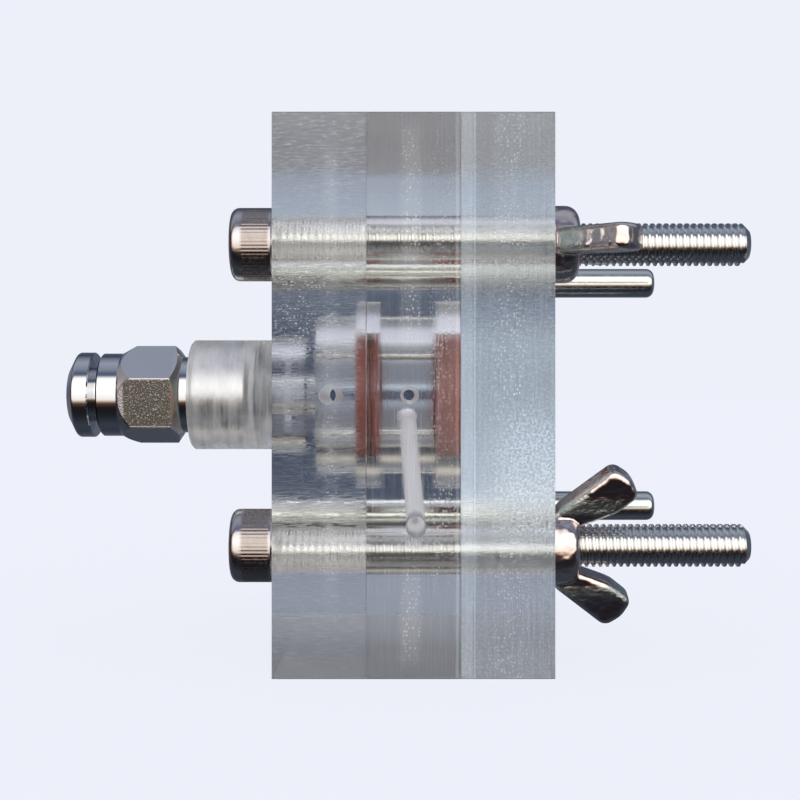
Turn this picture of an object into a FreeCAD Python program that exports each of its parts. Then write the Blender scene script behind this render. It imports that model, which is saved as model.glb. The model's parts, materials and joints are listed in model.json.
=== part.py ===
import FreeCAD, Part
import math
import os
import Sketcher

# Three-plate acrylic battery test cell, in millimetres.
# The plates are stacked along X, the ports open towards -Y and +Z is up.
# The origin is the centre of the stack's bottom face.

doc = FreeCAD.newDocument("BatteryTestCell")
sheet = doc.addObject("Spreadsheet::Sheet", "Sizes")

SIZES = [
    # plates
    ("plate_depth", 60, "plates, front to back"),
    ("plate_height", 60, "plates, bottom to top"),
    ("gas_plate_thickness", 10, "plate with the gas chamber"),
    ("electrolyte_plate_thickness", 10, "plate with the electrolyte chamber"),
    ("end_plate_thickness", 10, "plain closing plate"),
    ("plate_edge_break", 0.15, "chamfer on every outer plate edge"),
    # chambers and their seals
    ("chamber_diameter", 19, "both chambers"),
    ("gas_chamber_depth", 6.4, "from the first joint into the gas plate"),
    ("seal_recess_width", 1.8, "counterbores for the O-rings, from the chamber's wall outwards"),
    ("gas_seal_depth", 1.6, "counterbore in the gas plate"),
    ("electrolyte_seal_depth", 1.15, "counterbore in the electrolyte plate, gas side"),
    ("end_seal_depth", 2.3, "counterbore in the electrolyte plate, end side"),
    ("seal_clearance", 0.05, "O-ring to its counterbore, at the sides"),
    ("seal_rounding", 0.4, "corner radius left on a squeezed O-ring"),
    ("electrode_thickness", 0.3, "gas diffusion electrode"),
    ("electrode_clearance", 0.1, "electrode rim to the counterbore"),
    # drilled passages
    ("gas_bore_diameter", 4.8, "passage from the inlet to the gas chamber"),
    ("gas_port_diameter", 1.8, "port from the front face to the gas chamber"),
    ("gas_port_from_joint", 4.1, "gas port axis to the first joint"),
    ("fill_port_diameter", 1.8, "port from the front face to the electrolyte chamber"),
    ("fill_port_shift", -0.4, "fill port axis from the middle of its plate"),
    ("channel_diameter", 2, "slanted channel for a reference electrode"),
    ("channel_mouth_shift", 0.28, "channel mouth from the middle of its plate"),
    ("channel_mouth_drop", 13.9, "channel mouth below the chamber axis"),
    ("channel_end_shift", -0.6, "channel end from the middle of its plate"),
    ("channel_end_drop", 2.7, "channel end below the chamber axis"),
    # clamping screws
    ("screw_spacing", 35, "between the two screw axes"),
    ("screw_forward", 16, "screw axes in front of the chamber axis"),
    ("screw_diameter", 4.96, "outside of the M5 thread"),
    ("screw_length", 55, "under the head"),
    ("screw_tip_chamfer", 0.8, "free end of the thread"),
    ("screw_hole_clearance", 0.27, "radial play in the electrolyte and end plates"),
    ("screw_thread_play", 0.04, "radial play in the gas plate's tapped holes"),
    ("head_diameter", 8.5, "cap screw head"),
    ("head_height", 5, "cap screw head"),
    ("head_rounding", 0.9, "outer edge of the head"),
    ("head_foot_chamfer", 0.2, "lower edge of the head"),
    ("socket_width", 4, "hexagon socket across flats"),
    ("socket_depth", 2.5, "hexagon socket"),
    ("washer_diameter", 8, "small washer under the head"),
    ("washer_thickness", 1, "small washer under the head"),
    ("washer_clearance", 0.15, "radial play of the washer on the thread"),
    # wing nuts
    ("nut_bore_clearance", 0.05, "radial running fit on the thread"),
    ("nut_seat_gap", 0.05, "nut foot to the end plate"),
    ("nut_foot_radius", 4.5, "round foot of the hub"),
    ("nut_foot_height", 1.9, "straight part of the foot"),
    ("nut_crown_rounding", 1.6, "upper edge of the hub"),
    ("nut_hub_height", 4.2, "hub, foot to crown"),
    ("nut_countersink", 0.4, "chamfer at both ends of the bore"),
    ("wing_radius", 10.3, "outer corner of a wing, before rounding"),
    ("wing_height", 10.8, "foot to the top corner of a wing, before rounding"),
    ("wing_thickness", 3, "across a wing"),
    ("wing_rounding", 0.7, "edges along a wing"),
    ("wing_corner_radius", 1.2, "corners of a wing seen flat"),
    ("wing_bulge", 0.42, "how far a wing's outer edges swell past straight lines"),
    ("wing_curve_radius", 3, "outer edges where they swell"),
    ("wing_root_radius", 5.4, "where a wing leaves the foot"),
    ("wing_root_sink", 1.2, "a wing's lower edge inside the foot"),
    ("wing_shoulder_height", 7.7, "height of the outer corner"),
    ("wing_top_radius", 6.8, "radius of the top corner"),
    ("wing_notch_radius", 3.2, "where a wing meets the crown"),
    ("wing_notch_rise", 0.6, "same place, above the crown"),
    ("wing_notch_sink", 0.4, "a wing's upper edge inside the crown"),
    ("upper_nut_degrees", 90, "upper nut, turned about its screw"),
    ("lower_nut_degrees", 22, "lower nut, turned about its screw"),
    # dowel pins
    ("pin_spacing", 31, "between the two pin axes"),
    ("pin_backward", 14, "pin axes behind the chamber axis"),
    ("pin_diameter", 4, "dowel pins"),
    ("pin_length", 50, "dowel pins"),
    ("pin_proud", 1.3, "left ends of the pins outside the gas plate"),
    ("pin_rounding", 1, "edges of the pin ends"),
    ("pin_press_play", 0.01, "radial play in the gas plate"),
    ("pin_slide_play", 0.06, "radial play in the other plates"),
    # gas inlet
    ("boss_diameter", 14, "round acrylic boss"),
    ("boss_reach", 13, "boss in front of the gas plate"),
    ("boss_spigot", 2.3, "boss inside the gas plate"),
    ("boss_fit", 0.02, "radial glue gap"),
    ("boss_edge_break", 0.3, "chamfer at the free end"),
    ("thread_hole_depth", 8.2, "tapped hole in the boss"),
    # push-in fitting
    ("thread_diameter", 9.7, "one-eighth pipe thread of the fitting"),
    ("thread_play", 0.04, "radial play in the tapped hole"),
    ("thread_length", 7.5, "inside the boss"),
    ("thread_collar", 1.2, "thread left free in front of the boss"),
    ("thread_lead_chamfer", 0.6, "inner end of the thread"),
    ("hexagon_width", 11, "across flats"),
    ("hexagon_length", 7.4, "hexagon with its turned left end"),
    ("hexagon_corner_radius", 6.35, "corners of the hexagon"),
    ("hexagon_foot_chamfer", 1, "right end of the hexagon, along the axis"),
    ("hexagon_foot_radius", 4.9, "right end of the hexagon, where the chamfer stops"),
    ("hexagon_lead_length", 1.9, "turned left end of the hexagon"),
    ("hexagon_degrees", 41, "hexagon about its axis, from a corner at the front"),
    ("barrel_diameter", 10.6, "round barrel of the fitting"),
    ("barrel_length", 2, "round barrel of the fitting"),
    ("barrel_edge_break", 0.2, "mouth of the barrel"),
    ("socket_bore_diameter", 7.2, "bore for sleeve, collet and seal"),
    ("tube_seat_depth", 2.3, "where the tube's end is guided"),
    ("tube_seat_floor", 0.6, "from the tube's end to the right end of the hexagon"),
    ("tube_bore_diameter", 4.2, "for a 4 mm tube"),
    ("flow_bore_diameter", 3, "from the tube's end to the boss"),
    ("seal_ring_length", 2, "tube seal along the axis"),
    ("collet_length", 2, "gripping ring along the axis"),
    ("collet_gap", 0.1, "between seal and collet"),
    ("inner_play", 0.05, "radial play of sleeve, collet and seal"),
    ("tube_passage_play", 0.25, "seal and collet outside the tube bore"),
    ("collet_slot_width", 0.6, "slots between the gripping teeth"),
    ("collet_slot_depth", 1.3, "slots between the gripping teeth"),
    # release ring
    ("ring_diameter", 10.86, "flange of the release ring"),
    ("ring_length", 3.05, "flange of the release ring"),
    ("ring_face_radius", 3.5, "flat face inside the big chamfer"),
    ("ring_chamfer_length", 1.05, "big chamfer along the axis"),
    ("ring_gap", 0.95, "open gap between flange and barrel"),
    ("ring_travel", 0.85, "push of the release ring"),
    ("ring_stop_gap", 0.3, "sleeve to collet when pushed in"),
    ("ring_bore_play", 0.3, "release ring outside the tube bore"),
    ("ring_edge_break", 0.15, "right edge of the flange"),
    ("ring_chamfer_rounding", 0.45, "both edges of the big chamfer"),
]

for row, (name, value, meaning) in enumerate(SIZES, start=1):
    sheet.set("A%d" % row, meaning)
    sheet.set("B%d" % row, str(value))
    sheet.setAlias("B%d" % row, name)
doc.recompute()


def size(formula):
    """Write every size name in a formula as a reference to the sheet."""
    words = []
    word = ""
    for letter in formula + " ":
        if letter.isalnum() or letter in "_.":
            word += letter
            continue
        known = any(word == name for name, value, meaning in SIZES)
        words.append("Sizes." + word if known else word)
        words.append(letter)
        word = ""
    return "".join(words).strip()


def number(formula):
    """Value of a formula of size names."""
    result = sheet.evalExpression(size(formula))
    return float(getattr(result, "Value", result))


def bind(thing, prop, formula):
    """Tie a property of an object to a formula of size names."""
    thing.setExpression(prop, size(formula))


# places that several pieces share, all from the same sizes
AXIS_Z = "plate_height / 2"
FRONT_Y = "-plate_depth / 2"
JOINT_GAS = "-electrolyte_plate_thickness / 2"
JOINT_END = "electrolyte_plate_thickness / 2"
LEFT_X = "-electrolyte_plate_thickness / 2 - gas_plate_thickness"
SCREW_Y = "-screw_forward"
PIN_Y = "pin_backward"
BOSS_X = LEFT_X + " - boss_reach"
RECESS_DIAMETER = "(chamber_diameter + 2 * seal_recess_width)"
# the fitting is built from its left mouth, which lies this far from the boss
FITTING_LENGTH = "barrel_length + hexagon_length + hexagon_foot_chamfer + thread_collar"


def row_z(spacing, side):
    """Height of the upper (1) or lower (-1) one of a pair."""
    return "%s + %d * %s / 2" % (AXIS_Z, side, spacing)


def place(thing, x, y, z, turn=None):
    """Bind a piece's place, with an optional turn about X in degrees."""
    if turn is not None:
        thing.Placement = FreeCAD.Placement(
            FreeCAD.Vector(0, 0, 0), FreeCAD.Rotation(FreeCAD.Vector(1, 0, 0), number(turn)))
        bind(thing, ".Placement.Rotation.Angle", turn)
    bind(thing, ".Placement.Base.x", x)
    bind(thing, ".Placement.Base.y", y)
    bind(thing, ".Placement.Base.z", z)


# Part primitives

# how far a cutter runs past each face that it opens
OVERRUN = 1

ALONG_X = FreeCAD.Rotation(FreeCAD.Vector(0, 1, 0), 90)
ALONG_Y = FreeCAD.Rotation(FreeCAD.Vector(1, 0, 0), -90)


def bar(name, direction, diameter, length, x, y, z):
    """Round bar along X or Y that starts at the given point."""
    thing = doc.addObject("Part::Cylinder", name)
    thing.Placement = FreeCAD.Placement(FreeCAD.Vector(0, 0, 0), direction)
    bind(thing, "Radius", "(%s) / 2" % diameter)
    bind(thing, "Height", length)
    place(thing, x, y, z)
    return thing


def longer(length, open_ends=1):
    """Length of a cutter that opens one or two faces."""
    return "%s + %g" % (length, open_ends * OVERRUN)


def earlier(start):
    """Start of a cutter that opens the face where it starts."""
    return "%s - %g" % (start, OVERRUN)


def through_holes(prefix, diameter, spacing, y, start, thickness):
    """The pair of bars that drill a plate from face to face."""
    holes = []
    for side, word in ((1, "Upper"), (-1, "Lower")):
        holes.append(bar(prefix + word, ALONG_X, diameter, longer(thickness, 2),
                         earlier(start), y, row_z(spacing, side)))
    return holes


def plate(label, start, thickness, cutters):
    """One acrylic plate with broken outer edges and its holes."""
    box = doc.addObject("Part::Box", label + "_blank")
    bind(box, "Length", thickness)
    bind(box, "Width", "plate_depth")
    bind(box, "Height", "plate_height")
    place(box, start, FRONT_Y, "0")
    doc.recompute()
    broken = doc.addObject("Part::Chamfer", label + "_broken")
    broken.Base = box
    chamfer = number("plate_edge_break")
    broken.Edges = [(index + 1, chamfer, chamfer) for index in range(len(box.Shape.Edges))]
    holes = doc.addObject("Part::MultiFuse", label + "_holes")
    holes.Shapes = cutters
    result = doc.addObject("Part::Cut", label)
    result.Base = broken
    result.Tool = holes
    result.Label = label
    return result


def screw_holes(prefix, play, start, thickness):
    diameter = "screw_diameter + 2 * " + play
    return through_holes(prefix + "ScrewHole", diameter, "screw_spacing", SCREW_Y, start, thickness)


def pin_holes(prefix, play, start, thickness):
    diameter = "pin_diameter + 2 * " + play
    return through_holes(prefix + "PinHole", diameter, "pin_spacing", PIN_Y, start, thickness)


def port(name, diameter, x):
    """Small hole from the front face to the middle of a chamber."""
    return bar(name, ALONG_Y, diameter, longer("plate_depth / 2"), x, earlier(FRONT_Y), AXIS_Z)


def slanted_channel():
    """Hole that rises from the front face into the chamber's front wall."""
    mouth = FreeCAD.Vector(
        number("channel_mouth_shift"), number(FRONT_Y), number(AXIS_Z + " - channel_mouth_drop"))
    end = FreeCAD.Vector(
        number("channel_end_shift"), -number("chamber_diameter") / 2,
        number(AXIS_Z + " - channel_end_drop"))
    radius = number("channel_diameter") / 2
    direction = end - mouth
    direction.normalize()
    overrun = 2 * radius
    start = mouth - direction * overrun
    length = (end - mouth).Length + 2 * overrun
    thing = doc.addObject("Part::Feature", "ReferenceChannel")
    thing.Shape = Part.makeCylinder(radius, length, start, direction)
    return thing


# PartDesign helpers

def origin_plane(body, role):
    for feature in body.Origin.OriginFeatures:
        if feature.Role == role:
            return feature


def new_sketch(body, name, role="XY_Plane"):
    sketch = body.newObject("Sketcher::SketchObject", name)
    sketch.AttachmentSupport = [(origin_plane(body, role), "")]
    sketch.MapMode = "FlatFace"
    return sketch


def closed_outline(sketch, points):
    """Straight outline whose corners are bound to (x, y) formulas."""
    places = [FreeCAD.Vector(number(x), number(y), 0) for x, y in points]
    count = len(points)
    for index in range(count):
        sketch.addGeometry(Part.LineSegment(places[index], places[(index + 1) % count]), False)
    for index in range(count):
        follower = (index + 1) % count
        sketch.addConstraint(Sketcher.Constraint("Coincident", index, 2, follower, 1))
    for index, (x, y) in enumerate(points):
        for kind, formula, axis in (("DistanceX", x, -2), ("DistanceY", y, -1)):
            if formula == "0":
                sketch.addConstraint(Sketcher.Constraint("PointOnObject", index, 1, axis))
                continue
            name = "%s%d" % (kind, index)
            constraint = sketch.addConstraint(
                Sketcher.Constraint(kind, -1, 1, index, 1, number(formula)))
            sketch.renameConstraint(constraint, name)
            bind(sketch, "Constraints." + name, formula)


def turned(label, outline, x, y, z, turn=None):
    """Body turned about X from an outline of (x, radius) formulas."""
    body = doc.addObject("PartDesign::Body", label)
    body.Label = label
    sketch = new_sketch(body, label + "_outline")
    closed_outline(sketch, outline)
    turning = body.newObject("PartDesign::Revolution", label + "_turning")
    turning.Profile = sketch
    turning.ReferenceAxis = (sketch, ["H_Axis"])
    turning.Angle = 360
    place(body, x, y, z, turn)
    doc.recompute()
    return body


def ring_edges(shape, marks):
    """Names of the circular edges at the given (x, radius) pairs."""
    names = []
    for index, edge in enumerate(shape.Edges):
        curve = edge.Curve
        if not isinstance(curve, Part.Circle):
            continue
        for x, radius in marks:
            if abs(curve.Center.x - x) < 1e-4 and abs(curve.Radius - radius) < 1e-4:
                names.append("Edge%d" % (index + 1))
    return names


def rounded(body, marks, radius, kind="PartDesign::Fillet"):
    """Fillet or chamfer on the circular edges of a turned body."""
    base = body.Tip
    feature = body.newObject(kind, "%s_edge%d" % (body.Name, len(body.Group)))
    feature.Base = (base, ring_edges(base.Shape, [(number(x), number(r)) for x, r in marks]))
    bind(feature, "Radius" if kind.endswith("Fillet") else "Size", radius)
    doc.recompute()


def hexagon(sketch, width):
    """Hexagon across flats, with a corner on the sketch's first axis."""
    corner = number(width) / math.sqrt(3)
    corners = []
    for index in range(6):
        angle = math.radians(60 * index)
        corners.append(FreeCAD.Vector(corner * math.cos(angle), corner * math.sin(angle), 0))
    for index in range(6):
        sketch.addGeometry(Part.LineSegment(corners[index], corners[(index + 1) % 6]), False)
    circle = sketch.addGeometry(
        Part.Circle(FreeCAD.Vector(0, 0, 0), FreeCAD.Vector(0, 0, 1), corner), True)
    sketch.addConstraint(Sketcher.Constraint("Coincident", circle, 3, -1, 1))
    for index in range(6):
        follower = (index + 1) % 6
        sketch.addConstraint(Sketcher.Constraint("Coincident", index, 2, follower, 1))
        sketch.addConstraint(Sketcher.Constraint("PointOnObject", index, 2, circle))
        if index:
            sketch.addConstraint(Sketcher.Constraint("Equal", 0, index))
    sketch.addConstraint(Sketcher.Constraint("PointOnObject", 0, 1, -1))
    across = sketch.addConstraint(Sketcher.Constraint("Radius", circle, corner))
    sketch.renameConstraint(across, "Corner")
    bind(sketch, "Constraints.Corner", "(%s) / 3 ^ 0.5" % width)


# acrylic plates

def make_gas_plate():
    thickness = "gas_plate_thickness"
    cutters = screw_holes("Gas", "screw_thread_play", LEFT_X, thickness)
    cutters += pin_holes("Gas", "pin_press_play", LEFT_X, thickness)
    cutters.append(bar("GasChamber", ALONG_X, "chamber_diameter", longer("gas_chamber_depth"),
                       JOINT_GAS + " - gas_chamber_depth", "0", AXIS_Z))
    cutters.append(bar("GasSealRecess", ALONG_X, RECESS_DIAMETER, longer("gas_seal_depth"),
                       JOINT_GAS + " - gas_seal_depth", "0", AXIS_Z))
    cutters.append(bar("BossSeat", ALONG_X, "boss_diameter + 2 * boss_fit", longer("boss_spigot"),
                       earlier(LEFT_X), "0", AXIS_Z))
    cutters.append(bar("GasBore", ALONG_X, "gas_bore_diameter", "gas_plate_thickness",
                       LEFT_X, "0", AXIS_Z))
    cutters.append(port("GasPort", "gas_port_diameter", JOINT_GAS + " - gas_port_from_joint"))
    return plate("gas_plate", LEFT_X, thickness, cutters)


def make_electrolyte_plate():
    thickness = "electrolyte_plate_thickness"
    cutters = screw_holes("Electrolyte", "screw_hole_clearance", JOINT_GAS, thickness)
    cutters += pin_holes("Electrolyte", "pin_slide_play", JOINT_GAS, thickness)
    cutters.append(bar("ElectrolyteChamber", ALONG_X, "chamber_diameter", longer(thickness, 2),
                       earlier(JOINT_GAS), "0", AXIS_Z))
    cutters.append(bar("ElectrolyteSealRecess", ALONG_X, RECESS_DIAMETER,
                       longer("electrolyte_seal_depth"), earlier(JOINT_GAS), "0", AXIS_Z))
    cutters.append(bar("EndSealRecess", ALONG_X, RECESS_DIAMETER, longer("end_seal_depth"),
                       JOINT_END + " - end_seal_depth", "0", AXIS_Z))
    cutters.append(port("FillPort", "fill_port_diameter", "fill_port_shift"))
    cutters.append(slanted_channel())
    return plate("electrolyte_plate", JOINT_GAS, thickness, cutters)


def make_end_plate():
    thickness = "end_plate_thickness"
    cutters = screw_holes("End", "screw_hole_clearance", JOINT_END, thickness)
    cutters += pin_holes("End", "pin_slide_play", JOINT_END, thickness)
    return plate("end_plate", JOINT_END, thickness, cutters)


# seals and electrode

def make_seal(label, thickness, x):
    """Squeezed O-ring: flat where it is pressed, round at its corners."""
    inner = "chamber_diameter / 2 + seal_clearance"
    outer = RECESS_DIAMETER + " / 2 - seal_clearance"
    outline = [("0", inner), (thickness, inner), (thickness, outer), ("0", outer)]
    seal = turned(label, outline, x, "0", AXIS_Z)
    rounded(seal, [("0", inner), (thickness, inner), (thickness, outer), ("0", outer)],
            "min(seal_rounding; 0.45 * (%s); 0.45 * (%s - (%s)))" % (thickness, outer, inner))
    return seal


def make_seals():
    gas = "gas_seal_depth - electrode_thickness / 2"
    electrolyte = "electrolyte_seal_depth - electrode_thickness / 2"
    end = "end_seal_depth / 2"
    return [
        make_seal("gas_side_oring", gas, JOINT_GAS + " - gas_seal_depth"),
        make_seal("electrolyte_side_oring", electrolyte, JOINT_GAS + " + electrode_thickness / 2"),
        make_seal("end_inner_oring", end, JOINT_END + " - end_seal_depth"),
        make_seal("end_outer_oring", end, JOINT_END + " - end_seal_depth / 2"),
    ]


def make_electrode():
    radius = RECESS_DIAMETER + " / 2 - electrode_clearance"
    outline = [("0", "0"), ("electrode_thickness", "0"), ("electrode_thickness", radius),
               ("0", radius)]
    return turned("gas_electrode", outline, JOINT_GAS + " - electrode_thickness / 2", "0", AXIS_Z)


# screws, washers, wing nuts and pins

def make_screw(label, side):
    """Socket cap screw, with its zero at the underside of the head."""
    radius = "screw_diameter / 2"
    head = "head_diameter / 2"
    tip = "screw_diameter / 2 - screw_tip_chamfer"
    outline = [
        ("-head_height", "0"), ("screw_length", "0"), ("screw_length", tip),
        ("screw_length - screw_tip_chamfer", radius), ("0", radius), ("0", head),
        ("-head_height", head),
    ]
    screw = turned(label, outline, LEFT_X + " - washer_thickness", SCREW_Y,
                   row_z("screw_spacing", side))
    rounded(screw, [("-head_height", head)], "head_rounding")
    rounded(screw, [("0", head)], "head_foot_chamfer", "PartDesign::Chamfer")
    sketch = new_sketch(screw, label + "_socket", "YZ_Plane")
    hexagon(sketch, "socket_width")
    bind(sketch, ".AttachmentOffset.Base.z", "-head_height")
    doc.recompute()
    before = screw.Shape.Volume
    socket = screw.newObject("PartDesign::Pocket", label + "_socket_cut")
    socket.Profile = sketch
    socket.Reversed = True
    bind(socket, "Length", "socket_depth")
    doc.recompute()
    if screw.Shape.Volume > before - 1:
        raise RuntimeError("the hexagon socket of %s cuts nothing" % label)
    return screw


def make_washer(label, side):
    inner = "screw_diameter / 2 + washer_clearance"
    outer = "washer_diameter / 2"
    outline = [("0", inner), ("washer_thickness", inner), ("washer_thickness", outer), ("0", outer)]
    return turned(label, outline, LEFT_X + " - washer_thickness", SCREW_Y,
                  row_z("screw_spacing", side))


def swollen(near, far, outward):
    """Formula of one coordinate halfway along a wing's edge, moved by the bulge."""
    return "(%s + %s) / 2 %s wing_bulge" % (near, far, outward)


NOTCH_HEIGHT = "nut_hub_height + wing_notch_rise"
WING_CORNERS = [
    ("wing_shoulder_height", "wing_radius"),
    ("wing_height", "wing_top_radius"),
]
WING_CURVES = [
    (swollen("wing_shoulder_height", "wing_height", "+"),
     swollen("wing_radius", "wing_top_radius", "+")),
    (swollen(NOTCH_HEIGHT, "wing_height", "+"),
     swollen("wing_notch_radius", "wing_top_radius", "-")),
]


def corner_edges(shape, corners):
    """Names of a blank's edges across its thickness at the given corners of both wings."""
    names = []
    for index, edge in enumerate(shape.Edges):
        box = edge.BoundBox
        if box.YLength < 1e-3:
            continue
        for x, z in corners:
            if abs(box.XMin - number(x)) < 1e-4 and abs(abs(box.ZMin) - number(z)) < 1e-4:
                names.append("Edge%d" % (index + 1))
    return names


def face_edges(shape, half):
    """Names of the edges round the two flat faces of a blank."""
    names = []
    for index, edge in enumerate(shape.Edges):
        box = edge.BoundBox
        if box.YLength < 1e-6 and abs(abs(box.YMin) - half) < 1e-6:
            names.append("Edge%d" % (index + 1))
    return names


def wing_blank(label):
    """Both wings in one flat piece, with curved outer edges."""
    body = doc.addObject("PartDesign::Body", label + "_wings")
    outline = new_sketch(body, label + "_wing_outline", "XZ_Plane")
    upper_half = [
        ("nut_foot_height / 2", "wing_root_radius - wing_root_sink"),
        ("nut_foot_height", "wing_root_radius"),
        WING_CORNERS[0],
        WING_CURVES[0],
        WING_CORNERS[1],
        WING_CURVES[1],
        (NOTCH_HEIGHT, "wing_notch_radius"),
        ("nut_hub_height - nut_countersink", "wing_notch_radius - wing_notch_sink"),
    ]
    lower_half = [(x, "-(%s)" % z) for x, z in reversed(upper_half)]
    closed_outline(outline, upper_half + lower_half)
    pad = body.newObject("PartDesign::Pad", label + "_wing_pad")
    pad.Profile = outline
    pad.Midplane = True
    bind(pad, "Length", "wing_thickness")
    doc.recompute()
    feature = pad
    for word, corners, radius in (("corners", WING_CORNERS, "wing_corner_radius"),
                                  ("curves", WING_CURVES, "wing_curve_radius")):
        names = corner_edges(feature.Shape, corners)
        base = feature
        feature = body.newObject("PartDesign::Fillet", label + "_wing_" + word)
        feature.Base = (base, names)
        bind(feature, "Radius", radius)
        doc.recompute()
    edges = body.newObject("PartDesign::Fillet", label + "_wing_edges")
    edges.Base = (feature, face_edges(feature.Shape, number("wing_thickness") / 2))
    bind(edges, "Radius", "min(wing_rounding; 0.48 * wing_thickness)")
    doc.recompute()
    return body


def make_wing_nut(label, side, turn):
    """Wing nut with its zero at its foot and its wings along its own Z."""
    foot = "nut_foot_radius"
    hub = turned(label + "_hub", [
        ("0", "0"), ("nut_hub_height", "0"), ("nut_hub_height", foot), ("0", foot)], "0", "0", "0")
    rounded(hub, [("nut_hub_height", foot)], "nut_crown_rounding")
    bore_radius = "screw_diameter / 2 + nut_bore_clearance"
    flare = bore_radius + " + nut_countersink"
    bore = turned(label + "_bore", [
        (earlier("0"), "0"), ("wing_height", "0"), ("wing_height", flare),
        ("nut_hub_height", flare), ("nut_hub_height - nut_countersink", bore_radius),
        ("nut_countersink", bore_radius), ("0", flare), (earlier("0"), flare)], "0", "0", "0")
    cast = doc.addObject("Part::Fuse", label + "_cast")
    cast.Base = hub
    cast.Tool = wing_blank(label)
    nut = doc.addObject("Part::Cut", label)
    nut.Base = cast
    nut.Tool = bore
    nut.Label = label
    place(nut, JOINT_END + " + end_plate_thickness + nut_seat_gap", SCREW_Y,
          row_z("screw_spacing", side), turn)
    doc.recompute()
    return nut


def make_pin(label, side):
    radius = "pin_diameter / 2"
    outline = [("0", "0"), ("pin_length", "0"), ("pin_length", radius), ("0", radius)]
    pin = turned(label, outline, LEFT_X + " - pin_proud", PIN_Y, row_z("pin_spacing", side))
    rounded(pin, [("0", radius), ("pin_length", radius)], "pin_rounding")
    return pin


# gas inlet

def make_boss():
    """Round boss glued into the gas plate, with the fitting's tapped hole."""
    outer = "boss_diameter / 2"
    thread = "thread_diameter / 2 + thread_play"
    bore = "gas_bore_diameter / 2"
    cone = "thread_hole_depth + thread_diameter / 2 - gas_bore_diameter / 2"
    outline = [
        ("0", thread), ("thread_hole_depth", thread), (cone, bore),
        ("boss_reach + boss_spigot", bore), ("boss_reach + boss_spigot", outer),
        ("0", outer),
    ]
    boss = turned("inlet_boss", outline, BOSS_X, "0", AXIS_Z)
    rounded(boss, [("0", outer)], "boss_edge_break", "PartDesign::Chamfer")
    return boss


# where the fitting's bore narrows to guide the tube, from its mouth
SEAT_X = "barrel_length + hexagon_length - tube_seat_depth - tube_seat_floor"


def make_fitting_body():
    """Turned from hexagon bar: barrel, hexagon and pipe thread, zero at its mouth."""
    barrel = "barrel_diameter / 2"
    across = "hexagon_width"
    thread = "thread_diameter / 2"
    hexagon_end = "barrel_length + hexagon_length"
    foot_end = hexagon_end + " + hexagon_foot_chamfer"
    inner_end = foot_end + " + thread_collar + thread_length"
    socket = "socket_bore_diameter / 2"
    tube = "tube_bore_diameter / 2"
    flow = "flow_bore_diameter / 2"
    outline = [
        ("0", socket), ("0", barrel), ("barrel_length", barrel),
        ("barrel_length + hexagon_lead_length", "hexagon_corner_radius"),
        (hexagon_end, "hexagon_corner_radius"), (foot_end, "hexagon_foot_radius"),
        (foot_end, thread), (inner_end + " - thread_lead_chamfer", thread),
        (inner_end, thread + " - thread_lead_chamfer"), (inner_end, flow),
        (SEAT_X + " + tube_seat_depth", flow), (SEAT_X + " + tube_seat_depth", tube),
        (SEAT_X, tube), (SEAT_X, socket),
    ]
    turn = "hexagon_degrees"
    body = turned("fitting_body", outline, BOSS_X + " - (%s)" % FITTING_LENGTH, "0", AXIS_Z, turn)
    rounded(body, [("0", barrel)], "barrel_edge_break", "PartDesign::Chamfer")
    flats = new_sketch(body, "fitting_flats", "YZ_Plane")
    hexagon(flats, across)
    rim = flats.addGeometry(
        Part.Circle(FreeCAD.Vector(0, 0, 0), FreeCAD.Vector(0, 0, 1), number(across)), False)
    flats.addConstraint(Sketcher.Constraint("Coincident", rim, 3, -1, 1))
    width = flats.addConstraint(Sketcher.Constraint("Radius", rim, number(across)))
    flats.renameConstraint(width, "Rim")
    bind(flats, "Constraints.Rim", across)
    bind(flats, ".AttachmentOffset.Base.z", "barrel_length")
    doc.recompute()
    before = body.Shape.Volume
    milling = body.newObject("PartDesign::Pocket", "fitting_milling")
    milling.Profile = flats
    milling.Reversed = True
    bind(milling, "Length", "hexagon_length + hexagon_foot_chamfer")
    doc.recompute()
    if body.Shape.Volume > before - 1:
        raise RuntimeError("the flats of the fitting cut nothing")
    return body


def make_release_ring():
    """Push ring: a flange outside and a sleeve that slides in the barrel."""
    mouth = "ring_gap + ring_length"
    sleeve_end = (mouth + " + " + SEAT_X + " - seal_ring_length - collet_gap - collet_length"
                  " - ring_stop_gap - ring_travel")
    bore = "tube_bore_diameter / 2 + ring_bore_play"
    sleeve = "socket_bore_diameter / 2 - inner_play"
    flange = "ring_diameter / 2"
    outline = [
        ("0", bore), (sleeve_end, bore), (sleeve_end, sleeve), ("ring_length", sleeve),
        ("ring_length", flange), ("ring_chamfer_length", flange), ("0", "ring_face_radius"),
    ]
    ring = turned("release_ring", outline, BOSS_X + " - (%s) - (%s)" % (FITTING_LENGTH, mouth),
                  "0", AXIS_Z)
    rounded(ring, [("ring_length", flange)], "ring_edge_break", "PartDesign::Chamfer")
    rounded(ring, [("ring_chamfer_length", flange), ("0", "ring_face_radius")],
            "ring_chamfer_rounding")
    return ring


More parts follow.
